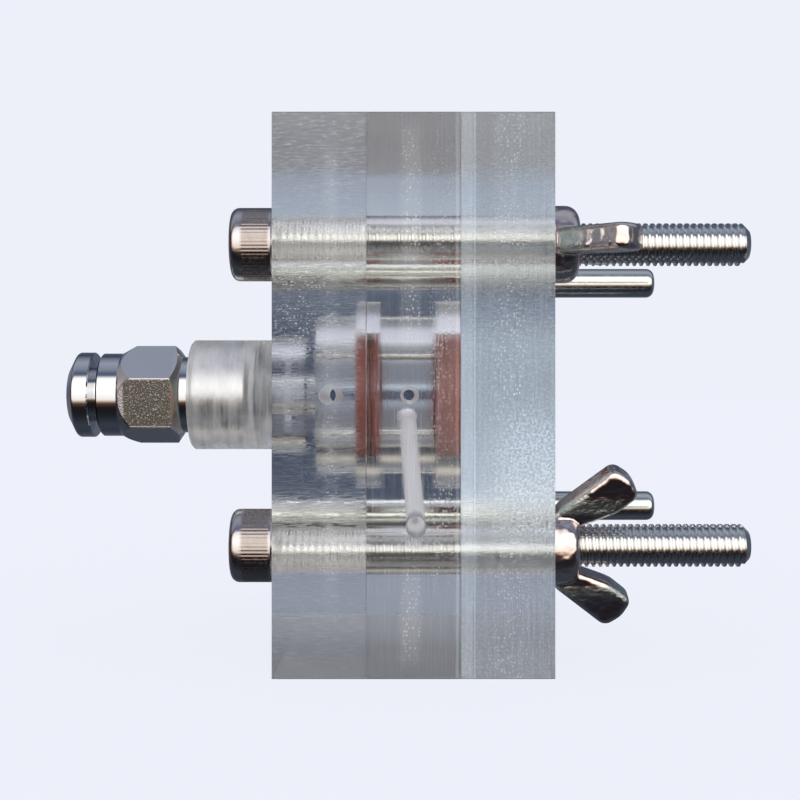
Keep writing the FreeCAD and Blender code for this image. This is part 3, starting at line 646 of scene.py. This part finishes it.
def bandGroup():
    # one between two limits, with soft edges
    group, given, made = newGroup("band", "value low high soft", "mask")
    value, low, high, soft = given[:4]
    rise = smoothStep(group, value, minus(group, low, soft), total(group, low, soft))
    fall = smoothStep(group, value, total(group, high, soft), minus(group, high, soft))
    feed(group, made["mask"], times(group, rise, fall))
    return group

def spotGroup():
    # soft oval on the front face
    group, given, made = newGroup("spot", "x z centreX centreZ reachX reachZ soft", "mask")
    across = calc(group, "DIVIDE", minus(group, given["x"], given["centreX"]), given["reachX"])
    up = calc(group, "DIVIDE", minus(group, given["z"], given["centreZ"]), given["reachZ"])
    feed(group, made["mask"], smoothStep(
        group, reach(group, across, up), total(group, 1.0, given["soft"]),
        minus(group, 1.0, given["soft"])))
    return group

def grainGroup():
    # stretched noise with a soft threshold, for scratches, clouds, pits and brushed lines
    group, given, made = newGroup("grain", "stretch scale detail roughness low high", "mask height",
                                  stretch="Vector")
    place = addNode(group, "ShaderNodeTexCoord").outputs["Object"]
    spread = vectorCalc(group, "MULTIPLY", place, given["stretch"])[0]
    height = noise(group, spread, given["scale"], given["detail"], given["roughness"])
    feed(group, made["height"], height)
    feed(group, made["mask"], smoothStep(group, height, given["low"], given["high"]))
    return group

fleck = {"radii": (0.29, 0.1), "edge": (1.15, 0.25), "fade": 0.3, "raggedness": 2.6,
         "ragged": (0.35, 0.65, 0.75, 1.4)}

def fleckGroup():
    # scattered soft round marks of many sizes on the front face
    group, given, made = newGroup("flecks", "x z stretchX stretchZ scale share", "mask")
    flat = addNode(group, "ShaderNodeCombineXYZ")
    feed(group, flat.inputs[0], times(group, given["x"], given["stretchX"]))
    feed(group, flat.inputs[1], times(group, given["z"], given["stretchZ"]))
    cells = addNode(group, "ShaderNodeTexVoronoi", voronoi_dimensions="2D", feature="F1")
    feedAll(group, cells, {"Scale": given["scale"], "Vector": flat.outputs[0]})
    chance = addNode(group, "ShaderNodeSeparateColor")
    feed(group, chance.inputs[0], cells.outputs["Color"])
    radius = scaleAdd(group, chance.outputs[0], *fleck["radii"])
    ragged = noise(group, flat.outputs[0], times(group, given["scale"], fleck["raggedness"]), 2, 0.5)
    away = times(group, cells.outputs["Distance"], smoothStep(group, ragged, *fleck["ragged"]))
    dot = smoothStep(group, calc(group, "DIVIDE", away, radius), *fleck["edge"])
    rare = minus(group, 1.0, given["share"])
    kept = smoothStep(group, chance.outputs[1], rare, total(group, rare, fleck["fade"]))
    feed(group, made["mask"], times(group, dot, kept))
    return group

def zone(tree, value, limit, edge, side=1):
    # one where a value is past a limit, off by a soft edge to the side given
    return smoothStep(tree, value, *[limit + side * off for off in acrylic[edge]])

def boreGroup():
    # one on the walls of the small front port and of the four long holes; thread lines on the screws'
    group, given, made = newGroup("bores", "portX screwHole pinHole", "port screwWall pinWall thread")
    x, y, z = placeParts(group)
    inside = smoothStep(group, y, *acrylic["inward"])
    away = reach(group, minus(group, x, given["portX"]), minus(group, z, plates["axisZ"]))
    port = zone(group, away, plates["port"] / 2, "portEdge")
    feed(group, made["port"], times(group, port, inside))
    upper = calc(group, "GREATER_THAN", z, plates["axisZ"])
    for kind in ("screw", "pin"):
        spread = plates[kind + "Spread"]
        middle = mixValue(group, upper, plates["axisZ"] - spread, plates["axisZ"] + spread)
        across = minus(group, y, plates[kind + "Y"])
        up = minus(group, z, middle)
        radius = times(group, given[kind + "Hole"], 0.5)
        edges = [total(group, radius, off) for off in acrylic["wallEdge"]]
        feed(group, made[kind + "Wall"], smoothStep(group, reach(group, across, up), *edges))
        if kind == "screw":
            wound = scaleAdd(group, x, math.tau / screw["pitch"], calc(group, "ARCTAN2", up, across))
            feed(group, made["thread"], calc(group, "SINE", wound))
    return group

def sawnGroup():
    # faces of a plate: hand-finished front and back, sawn top and bottom, polished joint faces
    group, given, made = newGroup("sawnPlate", "screwWall pinWall", "front roughness")
    x, y, z = placeParts(group)
    size = plates["size"]
    half = size / 2
    front = zone(group, y, -half, "faceEdge")
    back = zone(group, y, half, "faceEdge", -1)
    deep = calc(group, "ABSOLUTE", y)
    rim = zone(group, deep, half, "rimEdge", -1)
    top = zone(group, z, size, "endEdge", -1)
    bottom = zone(group, z, 0, "endEdge")
    chamber = smoothStep(group, deep, *acrylic["chamberDepth"])
    rough = mixValue(group, chamber, acrylic["polished"], acrylic["bored"])
    rough = mixValue(group, most(group, given["screwWall"], given["pinWall"]), rough, acrylic["drilled"])
    rough = mixValue(group, rim, rough, acrylic["sawn"])
    cloud = cloudy(group, (0.5, 1, 0.35), 1.0)
    milled = mixValue(group, cloud, *acrylic["front"])
    milled = scaleAdd(group, stripe(group, z, 50.8, 57, 1.2), acrylic["dullBand"], milled)
    rough = mixValue(group, front, rough, milled)
    upright = smoothStep(group, z, *acrylic["backRise"], acrylic["back"], acrylic["backTop"])
    rough = mixValue(group, back, rough, upright)
    feed(group, made["roughness"], mixValue(group, most(group, top, bottom), rough, acrylic["sawn"]))
    feed(group, made["front"], front)
    return group

metal = {"grain": 2.0, "uneven": 0.6, "least": 0.7}

def metalGroup():
    # uneven polish of a metal skin
    group, given, made = newGroup("metalSkin", "scale roughness", "roughness")
    skin = grain(group, (1, 1, 1), given["scale"], 0.3, 0.8, 4, 0.5)["mask"]
    share = scaleAdd(group, skin, metal["uneven"], metal["least"])
    feed(group, made["roughness"], times(group, given["roughness"], share))
    return group

def rubberGroup():
    # mottled dark and light tone
    group, given, made = newGroup("mottle", "dark light scale", "colour", dark="Color", light="Color",
                                  colour="Color")
    skin = grain(group, (1, 1, 1), given["scale"], 0.25, 0.75, 3, 0.5)["mask"]
    feed(group, made["colour"], mixColour(group, skin, given["dark"], given["light"]))
    return group

effects = {}
for name, build in (("band", bandGroup), ("spot", spotGroup), ("grain", grainGroup),
                    ("flecks", fleckGroup), ("bores", boreGroup), ("sawnPlate", sawnGroup),
                    ("metalSkin", metalGroup), ("mottle", rubberGroup)):
    effects[name] = build()
print("shared effects:", ", ".join(effects))


# materials

def newMaterial(name):
    material, tree, surface = newTree(name)
    shader = addNode(tree, "ShaderNodeBsdfPrincipled")
    feed(tree, surface, shader.outputs[0])
    return material, tree, shader

def clearMaterial(name):
    material, tree, shader = newMaterial(name)
    feedAll(tree, shader, {"Transmission Weight": 1.0, "IOR": acrylic["ior"],
                           "Emission Strength": acrylic["frostGlow"]})
    return material, tree, shader

def bump(tree, height, distance, normal=None):
    node = addNode(tree, "ShaderNodeBump")
    feedAll(tree, node, {"Strength": 1.0, "Distance": distance * mm, "Height": height,
                         "Normal": normal})
    return node.outputs["Normal"]

black = (0, 0, 0)

def plateMaterial(name, finish, look, portX, screwHole, pinHole):
    material, tree, shader = clearMaterial(name)
    x, y, z = placeParts(tree)
    bores = useGroup(tree, "bores", portX=portX, screwHole=plates[screwHole], pinHole=plates[pinHole])
    sawn = useGroup(tree, "sawnPlate", screwWall=bores["screwWall"], pinWall=bores["pinWall"])
    frostAndGlow, height, shade = finish(tree, look, x, y, z)
    frostAndGlow = times(tree, frostAndGlow, sawn["front"])
    deep = calc(tree, "ABSOLUTE", y)
    height = times(tree, height, zone(tree, deep, plates["size"] / 2, "faceEdge", -1))
    rough = scaleAdd(tree, frostAndGlow, acrylic["haze"], sawn["roughness"])
    rough = mixValue(tree, bores["port"], rough, acrylic["port"])
    frostAndGlow = most(tree, frostAndGlow, times(tree, bores["port"], acrylic["portGlow"]))
    normal = None
    if screwHole == "tappedHole":
        wall = bores["screwWall"]
        rough = mixValue(tree, wall, rough, acrylic["tapped"])
        frostAndGlow = most(tree, frostAndGlow, times(tree, wall, acrylic["wallGlow"]))
        colour = mixColour(tree, wall, look["tone"], acrylic["wallGlowTone"])
        normal = bump(tree, times(tree, wall, bores["thread"]), acrylic["tappedDepth"])
    else:
        wall, wallGlow = channelWall(tree, x, y, z)
        rough = mixValue(tree, wall, rough, acrylic["channel"])
        frostAndGlow = most(tree, frostAndGlow, times(tree, wallGlow, acrylic["channelGlow"]))
        colour = mixColour(tree, wall, look["tone"], acrylic["channelGlowTone"])
    shade = times(tree, shade, sawn["front"])
    # Emission Color paints a glow on frosted places, standing in for the light they scatter; the frost
    # itself is the added roughness
    feedAll(tree, shader, {
        "Specular Tint": acrylic["gloss"], "Roughness": rough,
        "Base Color": mixColour(tree, shade, acrylic["tint"], look["shadeTone"]),
        "Emission Color": mixColour(tree, frostAndGlow, black, colour),
        "Normal": bump(tree, height, acrylic["relief"], normal)})
    return material

def channelWall(tree, x, y, z):
    # wall of the slanted channel with its painted glow, and a painted shade that darkens that glow at
    # the end of its mouth
    mouth = Vector(plates["channelMouth"])
    run = (Vector(plates["channelEnd"]) - mouth).normalized()
    offset = vectorCalc(tree, "SUBTRACT", objectPlace(tree), mouth)[0]
    cross = vectorCalc(tree, "CROSS_PRODUCT", offset, run)[0]
    away = vectorCalc(tree, "LENGTH", cross)["Value"]
    radius = plates["channel"] / 2
    wall = times(tree, zone(tree, away, radius, "channelEdge"), smoothStep(tree, y, *acrylic["inward"]))
    core = times(tree, patch(tree, x, z, (0.2, 16.5), (0.42, 0.42)), smoothStep(tree, y, -24, -26))
    deep = smoothStep(tree, y, -29.8, -28.6)
    return wall, times(tree, wall, deep, scaleAdd(tree, core, acrylic["mouthShade"], 1.0))

# the looks hold the tones of the painted glow of frost and of the shade, how much painted glow each
# frosted mark has, and how deep it is
gasLook = {
    "tone": (0.82, 0.81, 0.87), "shadeTone": (0.82, 0.81, 0.88), "scratch": 0.04,
    "scratchHigh": 0.19, "scratchFoot": 0.07, "dash": 0.04, "dashHigh": 0.2, "dashSlate": 0.09,
    "bubble": 0.6, "low": 0.085, "column": 0.05, "columnHigh": 0.06, "columnBubbles": 0.7,
    "scratchDepth": 0.18, "bubbleDepth": 0.5, "swell": 0.3, "cloudShade": 0.45, "lowShade": 0.4,
}

def gasPlateFinish(tree, look, x, y, z):
    # sawn lengthwise: fine level scratches, heavier at the top
    scratches = grain(tree, (0.5, 1, 4), 1.3, 0.46, 0.66)["mask"]
    cloud = cloudy(tree, (0.5, 1, 0.9), 0.5)
    dashes = flecks(tree, x, z, (0.7, 2.2), 1.1, 0.5)
    bubbles = flecks(tree, x, z, (0.9, 1.5), 2.6, 0.6)
    high = smoothStep(tree, z, 45, 55)
    low = times(tree, smoothStep(tree, z, 1.5, 7.5), smoothStep(tree, z, 7.08, 6.88))
    foot = stripe(tree, z, 1.5, 12, 1.5)
    slate = stripe(tree, z, 33, 44, 2)
    column = times(tree, stripe(tree, x, -9.5, -8.1, 0.6), stripe(tree, z, 8, 56, 3))
    spots = most(tree, patch(tree, x, z, (-12.6, 38.4), (2.2, 2.8)),
                 patch(tree, x, z, (-12, 35), (2.6, 1.3)), patch(tree, x, z, (-11.6, 42), (3, 1.2)),
                 times(tree, column, look["columnBubbles"]))
    scratched = layers(tree, (high, look["scratchHigh"]), (foot, look["scratchFoot"]), look["scratch"])
    dashed = layers(tree, (high, look["dashHigh"]), (slate, look["dashSlate"]), look["dash"])
    frostAndGlow = layers(tree, (scratches, scratched), (dashes, dashed), (bubbles, spots, look["bubble"]),
                   (low, look["low"]),
                   (column, scaleAdd(tree, high, look["columnHigh"], look["column"])), clamp=True)
    height = layers(tree, (scratches, look["scratchDepth"]), (bubbles, spots, look["bubbleDepth"]),
                    (bumpy(tree, 0.9, 2), look["swell"]))
    shade = layers(tree, (smoothStep(tree, z, 46, 57), mixValue(tree, cloud, 1.0, look["cloudShade"])),
                   (smoothStep(tree, z, 5, 1), look["lowShade"]))
    return frostAndGlow, height, shade

electrolyteLook = {
    "tone": (0.86, 0.82, 0.82), "shadeTone": (0.86, 0.82, 0.81), "line": 0.1, "streakBubbles": 0.6,
    "streak": 0.09, "sideBubbles": 0.32, "seam": 0.18, "ring": 0.1, "low": 0.09,
    "lineDepth": 0.2, "swell": 0.3, "bubbleDepth": 0.5, "cloudShade": 0.5,
}

def electrolytePlateFinish(tree, look, x, y, z):
    # milled: faint upright lines and one bubbly streak
    lines = grain(tree, (4, 1, 0.1), 1.2, 0.46, 0.7)["mask"]
    bubbles = flecks(tree, x, z, (1.2, 0.9), 2.6, 0.7)
    streak = times(tree, stripe(tree, x, -1.2, 0.7, 0.6),
                   most(tree, stripe(tree, z, 44.5, 58, 2), stripe(tree, z, 35.5, 43, 2),
                        stripe(tree, z, 2, 11.5, 1.5)))
    side = times(tree, stripe(tree, x, 1.6, 4.6, 0.8), stripe(tree, z, 10, 57, 5))
    seam = stripe(tree, x, 4.5, 4.8, 0.12)
    ring = times(tree, stripe(tree, x, 2.5, 4.5, 0.3), stripe(tree, z, 21, 40, 2))
    low = times(tree, smoothStep(tree, z, 1, 7), smoothStep(tree, z, 7.08, 6.88))
    cloud = cloudy(tree, (0.7, 1, 0.5), 0.5)
    frostAndGlow = layers(tree, (lines, look["line"]), (bubbles, streak, look["streakBubbles"]),
                   (streak, look["streak"]), (bubbles, side, look["sideBubbles"]),
                   (seam, look["seam"]), (ring, look["ring"]), (low, look["low"]), clamp=True)
    height = layers(tree, (lines, look["lineDepth"]), (bumpy(tree, 0.9, 2), look["swell"]),
                    (bubbles, total(tree, streak, side), look["bubbleDepth"]))
    shade = times(tree, smoothStep(tree, z, 50, 56), mixValue(tree, cloud, 1.0, look["cloudShade"]))
    return frostAndGlow, height, shade

endLook = {
    "tone": (0.74, 0.84, 0.93), "shadeTone": (0.86, 0.86, 0.9), "base": 0.052, "band": 0.16,
    "edge": 0.3, "line": 0.1, "level": 0.05, "bubble": 0.42, "fine": 0.09, "haze": 0.425,
    "deeperHaze": 0.12, "corner": 0.5, "dark": -0.1, "clearer": -0.08,
    "lineDepth": 0.3, "levelDepth": 0.2, "bubbleDepth": 0.6, "cornerDepth": 0.5, "fineDepth": 0.15,
    "highShade": 0.4,
}

def endPlateFinish(tree, look, x, y, z):
    # the roughest: upright streaks, dimples and a pale band beside the joint
    lines = grain(tree, (3, 1, 0.09), 1.2, 0.42, 0.66)["mask"]
    level = grain(tree, (0.4, 1, 4), 1.3, 0.42, 0.66)["mask"]
    bubbles = flecks(tree, x, z, (1.15, 0.85), 2.6, 0.85)
    fine = grain(tree, (1, 1, 1), 3.5, 0.46, 0.62)["mask"]
    band = stripe(tree, x, 5.1, 6.3, 0.15)
    edge = stripe(tree, x, 6.42, 6.56, 0.06)
    dark = times(tree, stripe(tree, x, 6.9, 8.4, 0.5), stripe(tree, z, 48, 62, 4))
    dimples = most(tree, stripe(tree, x, 8.4, 12.2, 1.4), patch(tree, x, z, (13, 20), (3.5, 8)), 0.3)
    haze = times(tree, smoothStep(tree, z, 41, 34.5), smoothStep(tree, z, 17, 20))
    deeper = smoothStep(tree, z, 34, 22)
    clearer = stripe(tree, z, 43.5, 47, 0.8)
    corner = patch(tree, x, z, (12.8, 21.5), (4, 6), 0.6)
    frostAndGlow = layers(tree, (band, look["band"]), (edge, look["edge"]), (lines, look["line"]),
                   (level, look["level"]), (bubbles, dimples, look["bubble"]), (fine, look["fine"]),
                   (haze, scaleAdd(tree, deeper, look["deeperHaze"], look["haze"])),
                   (corner, fine, look["corner"]), (dark, look["dark"]),
                   (clearer, look["clearer"]), look["base"], clamp=True)
    height = layers(tree, (lines, look["lineDepth"]), (level, look["levelDepth"]),
                    (bubbles, dimples, look["bubbleDepth"]), (corner, fine, look["cornerDepth"]),
                    (fine, look["fineDepth"]))
    shade = times(tree, smoothStep(tree, z, 50, 57), look["highShade"])
    return frostAndGlow, height, shade

# boss: the ring and cloud amounts and the tone give the painted glow of its frosted outside
boss = {"plateX": -15, "edge": 0.02, "tint": (0.974, 0.972, 0.976), "frosted": (0.3, 0.43),
        "rings": 0.034, "ringGlow": 0.11, "cloudGlow": 0.08, "tone": (0.85, 0.84, 0.84)}

def bossMaterial(name):
    # turned outside, cemented and clear where it sits in the plate; on the outside a painted glow in the
    # boss's tone stands in for light its frosted rings and clouds scatter
    material, tree, shader = clearMaterial(name)
    outside = smoothStep(tree, placeParts(tree)[0], boss["plateX"] + boss["edge"],
                         boss["plateX"] - boss["edge"])
    rings = grain(tree, (3.2, 0.15, 0.15), 1.0, 0.35, 0.68, 3, 0.5)
    cloud = cloudy(tree, (0.8, 0.5, 0.5), 1.0)
    rough = mixValue(tree, rings["mask"], *boss["frosted"])
    frostAndGlow = layers(tree, (rings["mask"], boss["ringGlow"]), (cloud, boss["cloudGlow"]))
    feedAll(tree, shader, {
        "Base Color": boss["tint"], "Roughness": mixValue(tree, outside, acrylic["polished"], rough),
        "Emission Color": mixColour(tree, times(tree, frostAndGlow, outside), black, boss["tone"]),
        "Normal": bump(tree, times(tree, rings["height"], outside), boss["rings"])})
    return material

def uneven(tree, roughness):
    return useGroup(tree, "metalSkin", scale=metal["grain"], roughness=roughness)["roughness"]

def metalMaterial(name, colour, roughness):
    material, tree, shader = newMaterial(name)
    feedAll(tree, shader, {"Base Color": colour, "Metallic": 1.0, "Roughness": uneven(tree, roughness)})
    return material

def screwMaterial(name, colour):
    # bright rolled thread, a darker head, and a darker knurl whose tone paints the shade between its
    # ribs
    material, tree, shader = newMaterial(name)
    x = placeParts(tree)[0]
    foot = screw["underHead"]
    head = smoothStep(tree, x, foot + screw["headEdge"], foot - screw["headEdge"])
    knurl = stripe(tree, x, foot - screw["ribEnd"], foot - screw["ribStart"], screw["knurlEdge"])
    tone = mixColour(tree, head, colour, screw["headTone"])
    rough = mixValue(tree, knurl, screw["threadPolish"], screw["knurlPolish"])
    feedAll(tree, shader, {"Base Color": mixColour(tree, knurl, tone, screw["knurlShadeTone"]),
                           "Metallic": 1.0, "Roughness": uneven(tree, rough)})
    return material

def fittingMaterial(name, colour):
    # smooth turned ends; on the hexagon brushed flats, the front and back ones sandy
    material, tree, shader = newMaterial(name)
    x, y, z = placeParts(tree)
    turn = math.radians(fitting["turn"])
    soft = fitting["soft"]
    height = minus(tree, z, plates["axisZ"])
    across = scaleAdd(tree, y, -math.sin(turn), times(tree, height, math.cos(turn)))
    facing = scaleAdd(tree, y, math.cos(turn), times(tree, height, math.sin(turn)))
    hexagon = stripe(tree, x, *fitting["hexagon"], soft)
    flat = smoothStep(tree, calc(tree, "ABSOLUTE", facing), *fitting["facing"])
    off = calc(tree, "ABSOLUTE", across)
    sandy = times(tree, hexagon, flat, smoothStep(tree, off, fitting["flat"], fitting["flat"] - soft))
    start = fitting["hexagon"][0] + fitting["rim"]
    edge = fitting["flat"] - fitting["edge"]
    rim = times(tree, sandy, most(tree, smoothStep(tree, x, start, start - fitting["rimSoft"]),
                                  smoothStep(tree, off, edge, edge + soft)))
    sand = grain(tree, (1, 1, 1), 5.6, 0.53, 0.68, 3, 0.6)
    lines = grain(tree, (5, 0.15, 0.15), 1.0, 0.3, 0.7, 4, 0.5)["height"]
    grit = mixColour(tree, sand["mask"], fitting["khaki"], fitting["speck"])
    # the flats' edges get the paler bevel tone, a painted highlight of the hexagon's bevel
    grit = mixColour(tree, times(tree, rim, fitting["rimShare"]), grit, fitting["bevel"])
    rough = mixValue(tree, hexagon, fitting["turned"], fitting["brushed"])
    brushed = bump(tree, times(tree, lines, hexagon), fitting["brush"])
    feedAll(tree, shader, {
        "Base Color": mixColour(tree, sandy, colour, grit), "Metallic": 1.0,
        "Roughness": mixValue(tree, sandy, rough, fitting["tumbled"]),
        "Normal": bump(tree, times(tree, sand["height"], sandy), fitting["sparkle"], brushed)})
    return material

nut = {"axisY": -16, "hub": (4.6, 5.2), "rootReach": 7.5, "rootFade": 1.6, "ragged": 3.0,
       "smooth": 0.15, "pitted": 0.24, "pits": 0.13, "waves": 0.17, "rootPits": 0.95, "wingPits": 0.05,
       "rootTone": (0.52, 0.57, 0.53)}

def nutMaterial(name, colour):
    # wavy cast wings, pitted and duller near the roots; one material serves both nuts
    material, tree, shader = newMaterial(name)
    x, y, z = placeParts(tree)
    upper = calc(tree, "GREATER_THAN", z, plates["axisZ"])
    middle = mixValue(tree, upper, screw["z"][1], screw["z"][0])
    away = reach(tree, minus(tree, y, nut["axisY"]), minus(tree, z, middle))
    cloud = bumpy(tree, 0.7, 3)
    edge = scaleAdd(tree, cloud, nut["ragged"], away)
    root = times(tree, smoothStep(tree, edge, nut["rootReach"] + nut["rootFade"], nut["rootReach"]),
                 smoothStep(tree, away, *nut["hub"]))
    pits = bumpy(tree, 2.6, 4, 0.6)
    waves = bumpy(tree, 0.75, 1)
    worn = total(tree, times(tree, root, nut["rootPits"]), nut["wingPits"])
    feedAll(tree, shader, {
        "Base Color": mixColour(tree, root, colour, nut["rootTone"]), "Metallic": 1.0,
        "Roughness": mixValue(tree, root, nut["smooth"], nut["pitted"]),
        "Normal": bump(tree, times(tree, pits, worn), nut["pits"], bump(tree, waves, nut["waves"]))})
    return material

rubber = {"dark": 0.75, "light": 1.25, "grain": 3.0}

def rubberMaterial(name, colour, roughness, shine=0.5):
    material, tree, shader = newMaterial(name)
    tones = {tone: [rubber[tone] * v for v in colour] for tone in ("dark", "light")}
    mottled = useGroup(tree, "mottle", scale=rubber["grain"], **tones)["colour"]
    feedAll(tree, shader, {"Base Color": mottled, "Roughness": roughness, "Specular IOR Level": shine})
    return material

finishes = {
    "clear_acrylic": bossMaterial("turnedAcrylic"),
    "screw_steel": screwMaterial("screwSteel", (0.77, 0.77, 0.75)),
    "pin_steel": metalMaterial("pinSteel", (0.76, 0.77, 0.72), 0.21),
    "nickel": metalMaterial("nickelPlate", (0.66, 0.66, 0.67), 0.08),
    "red_silicone": rubberMaterial("redSilicone", (0.55, 0.1, 0.06), 0.45),
    "black_rubber": rubberMaterial("blackRubber", (0.02, 0.02, 0.02), 0.6),
    "carbon": rubberMaterial("carbonLayer", (0.008, 0.008, 0.009), 0.8, 0.15),
}
farAway = 100  # place of the front port in the plate that has none

def paint(piece, material):
    piece.data.materials.clear()
    piece.data.materials.append(material)

slots = {part["node"]: part["material_slot"] for part in frame["record"]["subparts"]}
for name, node in nodes.items():
    paint(node, finishes[slots[name]])
paint(fittingBody, fittingMaterial("fittingNickel", (0.66, 0.66, 0.67)))
for name, *traits in (
        ("gasPlate", gasPlateFinish, gasLook, plates["gasPortX"], "tappedHole", "pressHole"),
        ("electrolytePlate", electrolytePlateFinish, electrolyteLook, plates["fillPortX"], "screwHole",
         "slideHole"),
        ("endPlate", endPlateFinish, endLook, farAway, "screwHole", "slideHole")):
    paint(plate[name], plateMaterial(name + "Acrylic", *traits))
for piece in screws.values():
    paint(piece, finishes["screw_steel"])
# cast nickel with a warm tint that paints the reddish reflection on the wings' faces
castNickel = nutMaterial("castNickel", (0.77, 0.66, 0.62))
for piece in wingNuts.values():
    paint(piece, castNickel)
print("materials assigned")
